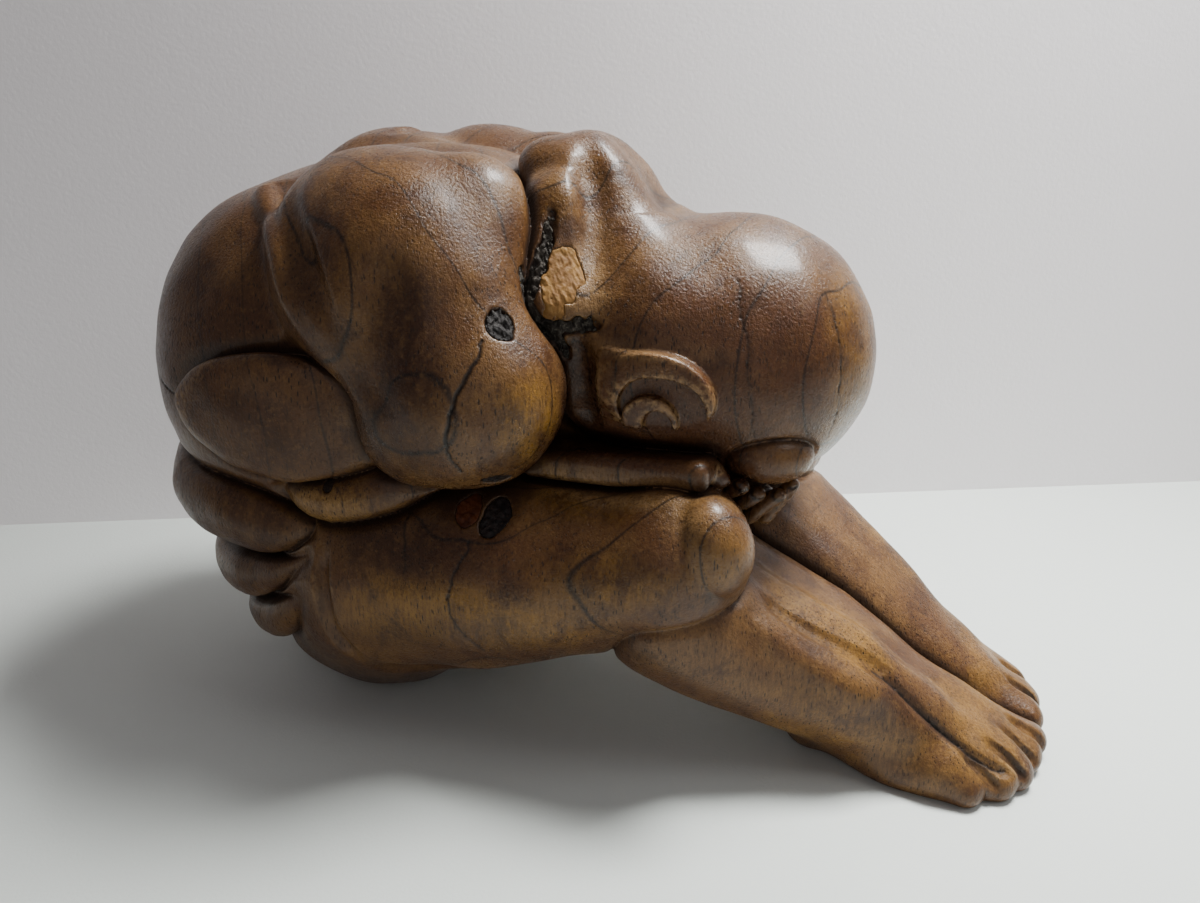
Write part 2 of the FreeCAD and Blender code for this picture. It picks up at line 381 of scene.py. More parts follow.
def trunk():
    """Back, shoulders and upper arms, with the valley and ridge behind each arm."""
    body = Joined([back()] + both(arm), 3)
    body = Joined([body] + both(lambda s: ridge(body, side(s, FLANK_RIDGE), 4, 2.4)), 3)
    valleys = both(lambda s: groove(body, side(s, FLANK_VALLEY), 8, 4.5, 0.45))
    soft = both(lambda s: groove(body, side(s, [(-40, 80, 177), (-42, 81, 167), (-45, 82, 155),
                                                (-47, 82, 142), (-48, 81, 132)]), 16, 2.0))
    blade_edge = groove(body, [(-90, 16, 209), (-83, 34, 213), (-80, 54, 208), (-78, 66, 196)], 5, 3)
    return Carved(Carved(body, valleys + [blade_edge], 2), soft, 6)


def neck():
    """A block with a steep rear edge and two soft tendons on each side."""
    core = [
        ellipsoid((-3, 0, 164), (24, 38, 47)),
        slab((-8, 0, 186), (18, 22, 25), 13),
        ellipsoid((4, 0, 150), (30, 46, 30)),
    ]
    core += both(lambda s: limb((-4, s * 24, 187), (1, s * 37, 160), 9, 11))
    core += both(lambda s: limb((-10, s * 28, 188), (-6, s * 43, 160), 9, 11))
    core += both(lambda s: limb((8, s * 8, 190), (26, s * 28, 156), 12, 16))
    block = Joined(core, 8)
    tendons = both(lambda s: ridge(block, side(s, [(-6, 18, 208), (-4, 24, 203), (-2, 30, 195),
                                                   (0, 34, 187), (2, 38, 178)]), 6, 1.3, 0.4))
    tendons += both(lambda s: ridge(block, side(s, [(5, 6, 210), (9, 11, 206), (13, 17, 199),
                                                    (16, 22, 192), (20, 28, 182)]), 8, 1.0, 0.4))
    body = Joined([block] + tendons, 4)
    between = both(lambda s: groove(body, side(s, [(0, 14, 208), (3, 20, 203), (5, 27, 195),
                                                   (8, 33, 186), (11, 38, 176)]), 5, 2.0, 0.4))
    return Carved(body, between, 4)


def skull():
    return Joined([ellipsoid((50, 0, 139), (49.5, 47, 48)), ellipsoid((22, 0, 137), (40, 46, 36))], 18)


def ear(s, head_side):
    """A raised half disc with a rim, hollowed in two crescents and cut off square below."""
    plate = Raised(head_side, bore((34, s * 46, 136), (19.5, 14, 13.5), (0, -8, 0)), 5.0, 1.2, (15, 34))
    root = Raised(head_side, slab((25, s * 46, 136), (10, 14, 13.5), 3, (0, -2, 0)), 3.2, 1.2, (15, 34))
    hollow = Carved(bore((36.5, s * 60, 131), (14.5, 15, 11)), [head_side], 0.5)
    lobe = Raised(head_side, bore((33, s * 46, 126.5), (9, 14, 9)), 4.0, 1.0)
    inner = Carved(bore((35, s * 60, 124.5), (5, 15, 6)), [head_side], 0.5)
    below = slab((34, s * 60, 112), (30, 24, 12), 1, (0, -3, 0))
    body = Carved(Joined([plate, root], 1), [hollow], 0.6)
    return Carved(Joined([body, lobe], 0.3), [inner, below], 0.6)


BROW = (66, 27, 113.5)


def head():
    """Neck and skull run into each other; ears, jaw edge and the swell of the brows stand on them."""
    body = Joined([neck(), skull()], 17)
    jaw_edge = both(lambda s: groove(body, side(s, [(8, 44, 156), (9, 46, 148), (9, 46, 134),
                                                    (8, 47, 120), (9, 44, 110)]), 6, 3.6, 0.3))
    body = Carved(body, jaw_edge, 1.5)
    body = Joined([body] + both(lambda s: ear(s, body)), 0.8)
    brow = both(lambda s: ellipsoid((BROW[0], s * BROW[1], BROW[2]), (17, 15.5, 11.5), (0, -4, 0)))
    return Seamed([body] + brow, 2, 0.9)


# root, tip and radius of each finger, with the outward distance for y
FINGERS = [
    ((50.0, 38.5, 93.0), (61.0, 37.5, 104.0), 3.3),
    ((56.5, 35.5, 91.5), (66.0, 34.0, 100.0), 3.0),
    ((62.0, 32.5, 89.0), (72.5, 31.0, 99.0), 2.8),
    ((68.5, 29.0, 90.0), (76.5, 28.0, 102.5), 2.7),
]


def nail_edge(start, end, radius, s):
    """The fine arc cut round the root of a nail, on the outer side of a finger's tip."""
    start, end = np.array(start, float), np.array(end, float)
    along = (end - start) / np.linalg.norm(end - start)
    out = np.array((0.1, s * 0.95, 0.25))
    out -= along * (out @ along)
    out /= np.linalg.norm(out)
    across = np.cross(out, along)
    arc = []
    for angle in np.linspace(-1.5, 1.5, 9):
        sideways = 0.80 * radius * math.sin(angle)
        rise = math.sqrt(radius ** 2 - sideways ** 2)
        forward = (0.35 - 0.85 * math.cos(angle)) * radius
        arc.append(end + along * forward + across * sideways + out * rise)
    return Joined([limb(a, b, 0.42, 0.42) for a, b in zip(arc, arc[1:])], 0)


LEFT_INSET = 12                 # mm that the left hand lies further in than the right


def hand_bones(s):
    """Start, end and radius of each finger and the thumb."""
    inset = 0 if s == RIGHT else LEFT_INSET
    bones = []
    for root, tip, radius in FINGERS:
        start, end = side(s, [(x, out - inset, z) for x, out, z in (root, tip)])
        bones.append((start, end, radius))
    return bones + [((38, s * 42, 107.5), (51.5, s * 40, 105.3), 6.4)]


def nail_edges(s):
    """A nail lies a little inside the finger's or thumb's own radius."""
    return [nail_edge(start, end, radius * (0.98 if radius < 4 else 0.8), s)
            for start, end, radius in hand_bones(s)]


def hand(s):
    inset = 0 if s == RIGHT else LEFT_INSET
    *fingers, thumb = hand_bones(s)
    palm = ellipsoid((57, s * (25 - inset), 96), (15, 8, 10), (0, -20, 0))
    forearm = slab((21, s * 42, 108), (33, 10.5, 6.2), 4, (s * 6, 3, 0))
    parts = [palm, Joined([forearm, limb(thumb[0], thumb[1], 7.4, thumb[2])], 2)]
    parts += [limb(start, end, radius * 1.1, radius) for start, end, radius in fingers]
    body = Seamed(parts, 1.6, 0.8)
    return Carved(body, nail_edges(s), 0.2)


def thigh(s):
    knee = (43, -46, 81) if s == RIGHT else (57, 40, 83)
    masses = [
        limb((-70, s * 33, 56), (33, s * 46, 77), 45, 26),
        limb((-30, s * 42, 58), (36, s * 46, 74), 32, 23),
        ellipsoid(knee, (24, 25, 27.5)),
    ]
    body = Joined(masses, 8)
    cap = ellipsoid((knee[0] + 13, knee[1] + s * 11, knee[2] + 9), (12.5, 14, 17), (s * -20, 12, 0))
    return Joined([body, cap], 1.5)


REAR_CREASE = [(-77, 70, 82), (-77, 75, 70), (-76, 77, 61), (-75, 77, 52), (-71, 75, 41), (-62, 72, 30)]


def seat():
    butt = both(lambda s: ellipsoid((-83, s * 26, 44), (50, 38, 46)))
    body = Joined(both(thigh) + butt, 9)
    under = [(-70, 72, 36), (-55, 72, 24), (-38, 70, 18), (-22, 66, 17), (-4, 62, 22), (14, 62, 34)]
    ledge = both(lambda s: groove(body, side(s, under), 5, 2.5))
    return Carved(body, ledge, 2.5)


# forward reach, outward place and radius of each toe
TOES = {
    RIGHT: [(172, 8, 6.0), (169, 19, 5.2), (165, 28, 5.0), (158, 36, 4.9), (147, 43, 5.0)],
    LEFT: [(173, 5, 6.0), (173, 16, 5.2), (169, 27, 5.0), (163, 37, 4.9), (156, 45, 5.0)],
}
# places and radii down the outer and the inner edge of each shin
SHIN = {
    RIGHT: [((42, 42, 58), 26), ((59, 38, 46), 23), ((93, 32, 34), 18.5), ((111, 30, 24), 15.5),
            ((130, 28, 14.5), 12.5), ((150, 27, 8), 9)],
    LEFT: [((60, 37, 68), 25), ((83, 33, 53), 22), ((108, 30, 38), 16.5), ((126, 28, 25), 13),
           ((145, 26, 13), 10.5), ((160, 25, 7), 8)],
}
INNER_SHIN = {
    RIGHT: [((50, 15, 58), 20), ((89, 13, 40), 17), ((118, 13, 24), 13), ((146, 13, 12), 10),
            ((162, 13, 7), 7)],
    LEFT: [((62, 16, 62), 23), ((89, 15, 46), 19.5), ((118, 14, 27), 15), ((146, 13, 13), 11),
           ((162, 13, 7), 7.5)],
}


def leg(s):
    knee = np.array((39, -46, 74) if s == RIGHT else (53, 40, 76), float)
    ankle = np.array((121, -26, 22) if s == RIGHT else (125, 24, 20), float)
    calf = limb(knee - (0, 0, 14), ankle - (14, 0, 9), 20, 14)
    shin = [cord_of([(x, s * y, z) for (x, y, z), _ in bone], [r for _, r in bone])
            for bone in (SHIN[s], INNER_SHIN[s])]
    foot = [limb((91, s * 24, 11), ankle - (0, 0, 8), 12, 13)]
    foot.append(ellipsoid((132, s * 28, 6), (30, 18, 13), (s * -8, 0, 0)))
    toes = []
    for forward, outward, radius in TOES[s]:
        root = (134, s * (23 + 0.75 * (outward - 23)), 8)
        toes.append(limb(root, (forward - radius, s * outward, 0.85 * radius), 8, radius))
    return Joined([Joined(shin + [calf], 10), Joined(foot, 8), Seamed(toes, 1.6, 1.0)], 6)


def legs():
    pair = both(leg)
    near_bone = [(57, 32, 76), (72, 30, 68), (93, 30, 56), (111, 30, 43), (130, 30, 30), (146, 30, 20)]
    near_outer = [(56, 48, 62), (72, 46, 52), (92, 44, 42), (104, 42, 36), (114, 40, 30)]
    pair[0] = Joined([pair[0], ridge(pair[0], side(RIGHT, near_bone), 5, 1.6, 0.15),
                      ridge(pair[0], side(RIGHT, near_outer), 5, 1.3, 0.2)], 4)
    body = Seamed(pair, 5, 2.5)
    outer = [(60, 42, 65), (80, 41, 54), (104, 38, 44), (118, 37, 34)]
    vein = [(104, 38, 44), (118, 37, 34), (133, 37, 21), (148, 36, 10), (156, 34, 7)]
    left_outer = [(90, 52, 52), (108, 46, 40), (128, 40, 26), (148, 36, 8)]
    grooves = [
        groove(body, side(RIGHT, outer), 4, 1.8, 0.2),
        groove(body, side(RIGHT, vein), 1.6, 1.2, 0.15),
        groove(body, side(LEFT, left_outer), 3.5, 1.6),
    ]
    for s in (RIGHT, LEFT):
        for (fa, oa, ra), (fb, ob, rb) in zip(TOES[s], TOES[s][1:]):
            out, forward = (oa + ob) / 2, (fa + fb) / 2
            inward = 22 + 0.86 * (out - 22)
            gap = [(forward - 19, inward, 17), (forward - 11, (out + inward) / 2, 13),
                   (forward - 3, out, 8), (forward + 1, out, 3)]
            grooves.append(groove(body, side(s, gap), 1.7, 1.9, 0.3))
    return Carved(body, grooves, 1.2)


# places and radii of the three rolls of cloth below the lobe, from the middle of the back outwards
ROLLS = [
    ([(-150, 18, 92), (-140, 40, 84), (-118, 54, 82), (-98, 57, 78), (-84, 58, 76)],
     [22, 20, 17, 14, 10]),
    ([(-150, 16, 54), (-137, 38, 50), (-118, 54, 54), (-98, 62, 62), (-85, 67, 70)],
     [14, 13, 11, 8, 5.5]),
    ([(-136, 18, 36), (-121, 42, 33), (-104, 57, 40), (-88, 67, 55)],
     [13, 12.5, 10, 6]),
]


def cloth(s, body):
    """The waist cloth's big upper fold, the lobe that hangs below it and the smaller rolls."""
    fold = Raised(body, bore((-80, s * 60, 121.5), (53, 40, 24), (0, -4, 0)), 6.5, 6)
    hanging = [(-106, 47, 99), (-92, 54, 95.5), (-76, 58, 93), (-58, 57, 97), (-44, 52, 104)]
    lobe = cord_of(side(s, hanging), [9, 12.5, 13.5, 12, 10])
    rolls = [cord_of(side(s, places), radii) for places, radii in ROLLS]
    return Seamed([fold, lobe] + rolls, 5, 2.2)


class Uneven(Changed):
    """A form with the slight waviness of hand work."""

    def __init__(self, body, height):
        super().__init__(body)
        self.height = height

    def distance_at(self, patch):
        x, y, z = patch.places
        wave = np.sin(x / 7.3 + 1.7 * np.sin(z / 11.0)) * np.sin(y / 6.1 + 1.3 * np.sin(x / 12.0))
        wave += 0.6 * np.sin(z / 4.7 + 1.9 * np.sin(y / 8.0)) * np.sin(x / 5.3 + 1.1 * np.sin(z / 7.0))
        return distance_at(self.body, patch) + np.float32(self.height) * wave


def whole_figure():
    middle = back()
    body = Seamed([trunk(), seat()] + both(lambda s: cloth(s, middle)), 5, 2.4)
    body = Seamed([body, legs()], 3, 1.2)
    creases = both(lambda s: groove(body, side(s, REAR_CREASE), 3, 3))
    body = Carved(body, creases, 2)
    body = Seamed([body, head()] + both(hand), 4.5, 2.2)
    body = Uneven(body, 0.3)
    ground = slab((0, 0, -60), (400, 400, 60), 0)
    return Carved(body, [ground], 0.6)


# ------------------------------------------------------------------ cracks and inlays
# the widest opening in mm, and the places on the figure's right side that the crack runs through
CRACKS = [
    (0.50, [(-12, 74, 155), (-14, 79, 148), (-18, 83, 140), (-20, 84, 132), (-22, 82, 122),
            (-20, 78, 114)]),
    (0.26, [(-22, 69, 86), (-24, 72, 81), (-27, 74, 75), (-28, 76.5, 66), (-25, 76, 57), (-18, 72, 47)]),
    (0.22, [(-48, 60, 93), (-48, 66, 88), (-46, 70, 82), (-45, 74, 74)]),
    (0.35, [(-149, 52, 128), (-143, 58, 126), (-136, 64, 124)]),
    (0.38, [(108, 38, 41), (118, 37, 34), (133, 37, 21), (148, 36, 10), (155, 34, 7)]),
    (0.16, [(55, 31, 175), (58, 40, 163), (61, 43, 152), (63, 45, 136), (65, 42, 120)]),
    (0.20, [(80, 24, 166), (85, 26, 155), (88, 28, 142), (88, 27, 130), (86, 24, 116)]),
]


def crack(form, widest, places):
    """A thin split in the wood, with small kinks along it."""
    line = np.array(smooth_line(side(RIGHT, places), 5))
    kinks = np.random.default_rng(len(line)).normal(size=len(line)) * 0.3
    line[:, 0] += kinks
    line = laid_on(form, line, -0.25)
    width = widest * (0.44 + 0.56 * np.sin(np.linspace(0.25, 3.0, len(line))))
    return Joined([limb(a, b, u, v) for a, b, u, v in zip(line, line[1:], width, width[1:])], 0)


# direction and start of each of the waves that add up to the lumps
WAVES = np.random.default_rng(5).normal(size=(10, 4)).astype(np.float32)


class Rough(Changed):
    """A form whose surface is broken up by irregular lumps of about the given size."""

    def __init__(self, body, height, size):
        super().__init__(body)
        self.height, self.size = np.float32(height), np.float32(size)
        self.low, self.high = body.low - height, body.high + height

    def distance_at(self, patch):
        x, y, z = [v / self.size for v in patch.places]
        lumps = 0
        for a, b, c, start in WAVES:
            lumps = lumps + np.sin(a * x + b * y + c * z + 3 * start)
        for a, b, c, start in WAVES:
            lumps = lumps + 0.5 * np.sin(2.3 * (b * x + c * y + a * z) + 5 * start)
        return distance_at(self.body, patch) + self.height * lumps * np.float32(0.35)


def tilted(place, half, yaw, tilt):
    """An ellipsoid whose own up axis leans by tilt towards the yaw direction, as the CAD inlays do."""
    return ellipsoid(place, half, (yaw, -tilt, 0))


BARK_LINE = [(-3, 39, 189), (-3, 43, 181), (-5, 47, 174), (-7, 50, 167), (-6, 52, 160), (-3, 51, 154),
             (2, 49, 150), (4, 47, 145)]
BARK_BRANCH = [(-2, 51, 155), (4, 50, 154), (10, 49, 155.5), (15, 48, 156)]


def inlay_forms():
    """Each inlay's outline in the wood, how far it is sunk and how lumpy its face is, both in mm."""
    bark = Joined([cord_of(side(RIGHT, BARK_LINE), [1.6, 2.4, 3.2, 3.4, 3.2, 3.6, 3.6, 2.2]),
                   cord_of(side(RIGHT, BARK_BRANCH), [3.6, 3.4, 2.8, 1.6])], 1.5)
    neck_knot = ellipsoid((1.9, -46, 168.5), (5.8, 8, 14.5), (-25, 0, 0))
    shoulder_knot = tilted((-8, -69, 160), (5.8, 5.2, 7), 136, 117)
    filler = tilted((-25.5, -60.8, 93.5), (6.5, 4.6, 6), 84, 141)
    plug = tilted((-16.2, -62.5, 92.5), (8.2, 4.8, 6), 86, 140)
    return {
        "neck_bark": (Rough(bark, 0.7, 2.6), 1.0, 0.5),
        "neck_knot": (Rough(neck_knot, 0.8, 3.0), 0.15, 0.12),
        "shoulder_knot": (Rough(shoulder_knot, 0.4, 2.5), 0.5, 0.35),
        "thigh_filler": (Rough(filler, 0.4, 3.0), 0.3, 0.08),
        "thigh_dark_plug": (Rough(plug, 0.5, 3.0), 0.6, 0.15),
        "armpit_filler": (tilted((-12.5, -68.5, 109), (2.6, 5, 5), 130, 44), 0.5, 0.15),
        "waist_peg": (limb((-75, -56, 98.5), (-75, -84, 99.5), 2.0, 2.0), 0.5, 0.05),
    }


# ------------------------------------------------------------------ meshing
LOW = np.array([-182.0, -94.0, -4.0])
HIGH = np.array([182.0, 94.0, 222.0])
TRIANGLES = 380000              # about what the finished figure's surface is thinned to
GAP = 0.12                      # mm between an inlay and the wood round it
TIGHT_GAP = 0.03                # the same for the pale knot, which has grown into the wood


def grid_patch(low, counts, step):
    axes = [(low[k] + step * np.arange(counts[k])).astype(np.float32) for k in range(3)]
    x, y, z = np.meshgrid(*axes, indexing="ij")
    return Patch(x.ravel(), y.ravel(), z.ravel())


def sample_form(form, low, high, voxel):
    """The form's distance on a regular grid, exact near its surface and only signed elsewhere."""
    per_cell = 5
    cell = per_cell * voxel
    counts = np.ceil((high - low) / cell).astype(int)
    block = 8
    field = np.empty(counts * per_cell, np.float32)
    clip = np.float32(3 * voxel)
    for i in range(0, counts[0], block):
        for j in range(0, counts[1], block):
            for k in range(0, counts[2], block):
                start = np.array([i, j, k])
                size = np.minimum(block, counts - start)
                corner = low + cell * start
                centres = grid_patch(corner + voxel * (per_cell - 1) / 2, size, cell)
                rough = distance_at(form, centres).reshape(size)
                fine = np.clip(rough, -clip, clip)
                fine = fine.repeat(per_cell, 0).repeat(per_cell, 1).repeat(per_cell, 2)
                near = np.abs(rough) < 0.9 * cell + 2.2
                if near.any():
                    mask = near.repeat(per_cell, 0).repeat(per_cell, 1).repeat(per_cell, 2)
                    index = np.nonzero(mask)
                    places = [np.float32(corner[a]) + np.float32(voxel) * index[a].astype(np.float32)
                              for a in range(3)]
                    fine[index] = np.clip(distance_at(form, Patch(*places)), -clip, clip)
                a, b, c = start * per_cell
                l, m, n = fine.shape
                field[a:a + l, b:b + m, c:c + n] = fine
    return field


def mesh_from_field(name, field, low, voxel):
    grid = openvdb.FloatGrid(float(3 * voxel))
    grid.copyFromArray(field)
    points, quads = grid.convertToQuads(0.0)
    mesh = bpy.data.meshes.new(name)
    mesh.from_pydata(((points * voxel + low) * MM).tolist(), [], quads.tolist())
    mesh.polygons.foreach_set("use_smooth", np.ones(len(quads), bool))
    mesh.update()
    return mesh


def carve(name, form, low, high, voxel, triangles=None):
    low, high = np.asarray(low, float), np.asarray(high, float)
    mesh = mesh_from_field(name, sample_form(form, low, high, voxel), low, voxel)
    piece = bpy.data.objects.new(name, mesh)
    bpy.context.scene.collection.objects.link(piece)
    if triangles and 2 * len(mesh.polygons) > triangles:
        thin = piece.modifiers.new("thin", "DECIMATE")
        thin.ratio = triangles / (2 * len(mesh.polygons))
        bpy.context.view_layer.update()
        evaluated = piece.evaluated_get(bpy.context.evaluated_depsgraph_get())
        thinned = bpy.data.meshes.new_from_object(evaluated)
        piece.modifiers.clear()
        piece.data = thinned
        thinned.name = name
        thinned.polygons.foreach_set("use_smooth", np.ones(len(thinned.polygons), bool))
    return piece


# ------------------------------------------------------------------ measures painted on the surface
def in_batches(form, p, size=60000):
    """The form's distance at many places, worked out for neighbouring places together."""
    order = np.lexsort((p[:, 2] // 30, p[:, 1] // 30, p[:, 0] // 30))
    out = np.empty(len(p))
    for i in range(0, len(p), size):
        part = order[i:i + size]
        out[part] = distance_at(form, Patch(*p[part].T.astype(np.float32)))
    return out


# Soft patches of tone, each an ellipsoid (centre, half size, strength) with centre forward, outward
# and up. They are on both sides of the figure.
# The gold patches at (14, 58, 103) and (22, 55, 104) and the pale one at (24, 55, 104.5) lie along the
# top of each thigh under the forearm: partly worn tone, partly painted light where the forearm's shade
# falls.
GOLD = [
    ((14, 58, 103), (26, 14, 9), 1.0), ((-20, 76, 60), (46, 30, 13), 1.0),
    ((22, 74, 80), (26, 26, 10), 0.9), ((-48, 76, 60), (22, 26, 14), 0.8),
    ((2, 72, 128), (12, 16, 18), 1.0), ((22, 55, 104), (40, 10, 7), 1.0),
    ((92, 20, 148), (11, 40, 38), 0.7), ((-74, 66, 92), (26, 16, 10), 1.0),
    ((60, 66, 88), (12, 18, 16), 0.4), ((100, 34, 52), (46, 14, 20), 1.0),
    ((140, 24, 18), (38, 34, 16), 0.7), ((95, 48, 28), (40, 14, 24), 0.5),
    ((-2, 42, 196), (10, 14, 14), 0.4),
]
DARK = [
    ((-10, 72, 48), (60, 24, 12), 0.45), ((-90, 50, 20), (50, 60, 22), 0.5),
    ((-34, 79, 148), (14, 16, 36), 1.0), ((-52, 72, 120), (14, 14, 30), 0.9),
    ((-130, 50, 150), (50, 70, 56), 0.5), ((-108, 64, 118), (46, 16, 24), 0.6),
    ((-45, 70, 82), (30, 18, 12), 0.9), ((4, 42, 184), (10, 12, 5), 0.8),
    ((-14, 62, 92), (30, 14, 14), 0.5), ((8, 46, 134), (9, 16, 26), 1.0),
    ((24, 44, 114), (40, 12, 5), 0.9), ((-120, 62, 78), (40, 30, 26), 0.5),
    ((62, 34, 98), (22, 16, 14), 0.35), ((6, 60, 84), (50, 20, 8), 0.5),
    ((34, 50, 128), (16, 12, 7), 0.5), ((-45, 40, 14), (70, 60, 16), 0.5),
    ((118, 38, 30), (34, 5, 16), 0.5), ((80, 2, 62), (34, 8, 12), 0.6),
    ((-104, 66, 112), (26, 14, 12), 0.4), ((-70, 74, 168), (10, 14, 26), 0.5),
]
RED = [
    ((60, 42, 150), (34, 34, 30), 0.9), ((28, 46, 128), (34, 16, 22), 1.0),
    ((-110, 60, 130), (44, 30, 40), 0.5), ((-10, 70, 82), (34, 20, 10), 0.6),
    ((40, 42, 110), (40, 20, 12), 0.8),
]
PALE = [
    # The first patch, on top of the thigh under the forearm, is partly worn tone and partly painted
    # light.
    ((24, 55, 104.5), (42, 9, 6), 0.9), ((50, 56, 100), (12, 16, 7), 0.5),
    ((-78, 68, 93), (20, 12, 7), 0.3), ((0, 56, 199), (20, 40, 8), 0.25),
    ((36, 47, 149), (24, 8, 3.5), 0.7), ((9, 47, 169), (10, 12, 15), 0.55),
]
MATTE = [
    ((100, 35, 36), (95, 75, 52), 1.0), ((-110, 60, 50), (80, 70, 60), 0.7),
    ((-120, 40, 130), (56, 80, 60), 0.3),
]
# Patches where the painted shade and dirt of the hollows is weakened.
LESS_SHADE_AND_GRIME = [
    ((64, 33, 98), (26, 18, 18), 1.1), ((4, 47, 169), (10, 12, 17), 1.0),
    ((34, 48, 132), (24, 14, 16), 0.8), ((10, 46, 138), (8, 14, 26), 1.0),
    ((24, 46, 108), (40, 12, 8), 0.6),
]


def painted(p, spots):
    """How strongly each place lies in any of the patches."""
    amount = np.zeros(len(p))
    for (x, out, z), half, strength in spots:
        d2 = ((p[:, 0] - x) / half[0]) ** 2 + ((np.abs(p[:, 1]) - out) / half[1]) ** 2 \
            + ((p[:, 2] - z) / half[2]) ** 2
        amount = np.maximum(amount, strength * np.clip(1.25 - d2, 0, 1))
    return amount


def paint_measures(piece, form, lines):
    """Store hollows (darkened by the material as painted shade and dirt), edges, dark lines and the
    patches of tone on the mesh for the materials.
    """
    mesh = piece.data
    count = len(mesh.vertices)
    p = np.empty(count * 3, np.float32)
    mesh.vertices.foreach_get("co", p)
    p = p.reshape(-1, 3) / MM
    n = np.empty(count * 3, np.float32)
    mesh.vertices.foreach_get("normal", n)
    n = n.reshape(-1, 3)
    # How closed in each place is, narrowly and broadly; the material paints shade and dirt there.
    deep, broad = 2.2, 8.0
    narrow_hollow = np.clip(1 - in_batches(form, p + deep * n) / deep, 0, 1)
    broad_hollow = np.clip(1 - in_batches(form, p + broad * n) / broad, 0, 1)
    edge = np.clip(1 + in_batches(form, p - deep * n) / deep, 0, 1)
    line = np.clip(0.95 - in_batches(lines, p) / 0.5, 0, 1)
    hollow = np.maximum(0.85 * narrow_hollow, 0.5 * broad_hollow) * (1 - 0.85 * painted(p, LESS_SHADE_AND_GRIME))
    measures = {"hollow": hollow, "edge": edge, "line": line,
                "gold": painted(p, GOLD), "pale": painted(p, PALE), "matte": painted(p, MATTE),
                "dark": painted(p, DARK), "red": painted(p, RED)}
    for name, values in measures.items():
        layer = mesh.attributes.new(name, "FLOAT", "POINT")
        layer.data.foreach_set("value", values.astype(np.float32))


# ------------------------------------------------------------------ materials
class Nodes:
    """Short calls for building a material's nodes."""

    def __init__(self, name):
        self.material = bpy.data.materials.new(name)
        self.material.use_nodes = True
        self.tree = self.material.node_tree
        self.shader = self.tree.nodes["Principled BSDF"]

    def node(self, kind, **settings):
        made = self.tree.nodes.new(kind)
        for key, value in settings.items():
            setattr(made, key, value)
        return made

    def wire(self, value, socket):
        if hasattr(value, "links"):
            self.tree.links.new(value, socket)
        else:
            socket.default_value = value

    def math(self, operation, a, b=0.0, c=0.0, clamp=False):
        made = self.node("ShaderNodeMath", operation=operation, use_clamp=clamp)
        for value, socket in zip((a, b, c), made.inputs):
            self.wire(value, socket)
        return made.outputs[0]

    def blend(self, share, a, b):
        made = self.node("ShaderNodeMix", data_type="RGBA")
        self.wire(share, made.inputs["Factor"])
        self.wire(a, made.inputs["A"])
        self.wire(b, made.inputs["B"])
        return made.outputs["Result"]

    def coords(self, scale=(1, 1, 1), bend=None):
        """Object coordinates in millimetres times scale."""
        place = self.node("ShaderNodeTexCoord").outputs["Object"]
        if bend is not None:
            made = self.node("ShaderNodeVectorMath", operation="ADD")
            self.wire(place, made.inputs[0])
            self.wire(bend, made.inputs[1])
            place = made.outputs[0]
        made = self.node("ShaderNodeVectorMath", operation="MULTIPLY")
        self.wire(place, made.inputs[0])
        made.inputs[1].default_value = [v / MM for v in scale]
        return made.outputs[0]

    def noise(self, where, scale, detail=3.0, rough=0.55, distortion=0.0):
        made = self.node("ShaderNodeTexNoise")
        self.wire(where, made.inputs["Vector"])
        made.inputs["Scale"].default_value = scale
        made.inputs["Detail"].default_value = detail
        made.inputs["Roughness"].default_value = rough
        made.inputs["Distortion"].default_value = distortion
        return made.outputs["Fac"]

    def cells(self, where, scale):
        made = self.node("ShaderNodeTexVoronoi")
        self.wire(where, made.inputs["Vector"])
        made.inputs["Scale"].default_value = scale
        return made.outputs["Distance"]

    def spread(self, value, low, high, out_low=0.0, out_high=1.0):
        made = self.node("ShaderNodeMapRange", interpolation_type="SMOOTHSTEP")
        for v, socket in zip((value, low, high, out_low, out_high), made.inputs):
            self.wire(v, socket)
        return made.outputs[0]

    def measure(self, name):
        made = self.node("ShaderNodeAttribute", attribute_name=name)
        return made.outputs["Fac"]

    def bump(self, height, depth, strength=1.0, under=None):
        made = self.node("ShaderNodeBump")
        self.wire(height, made.inputs["Height"])
        made.inputs["Distance"].default_value = depth * MM
        made.inputs["Strength"].default_value = strength
        if under is not None:
            self.wire(under, made.inputs["Normal"])
        return made.outputs["Normal"]


BROWN = (0.098, 0.043, 0.0150, 1)
LIGHT_BROWN = (0.165, 0.084, 0.028, 1)
GOLDEN = (0.235, 0.118, 0.022, 1)
WORN = (0.42, 0.26, 0.115, 1)
DARK_BROWN = (0.036, 0.0145, 0.0070, 1)
REDDISH = (0.080, 0.027, 0.0120, 1)
SOOT = (0.009, 0.006, 0.005, 1)
# Dark brown painted as shade and dirt in the hollows.
SHADE_AND_GRIME = (0.020, 0.0095, 0.0060, 1)
PITH = (-0.020, 0.010, 0.0)     # where the trunk's heart ran upright through the block, in metres


def wood_pattern(n):
    """Grain values shared by the figure and the plain inlays: pores, fibres, rings and mottle."""
    fibre_space = n.coords((1, 1, 0.13))
    plain_space = n.coords()
    pores = n.spread(n.cells(n.coords((1, 1, 0.22)), 0.95), 0.17, 0.27, 1.0, 0.0)
    sparse = n.spread(n.noise(plain_space, 0.035, 2.0), 0.40, 0.62)
    pores = n.math("MULTIPLY", pores, n.math("MULTIPLY_ADD", sparse, 0.5, 0.5))
    fibres = n.noise(fibre_space, 0.9, 4.0, 0.65)
    mottle = n.noise(plain_space, 0.55, 3.0, 0.6)
    clouds = n.noise(plain_space, 0.045, 4.0, 0.55, 0.6)
    return pores, fibres, mottle, clouds


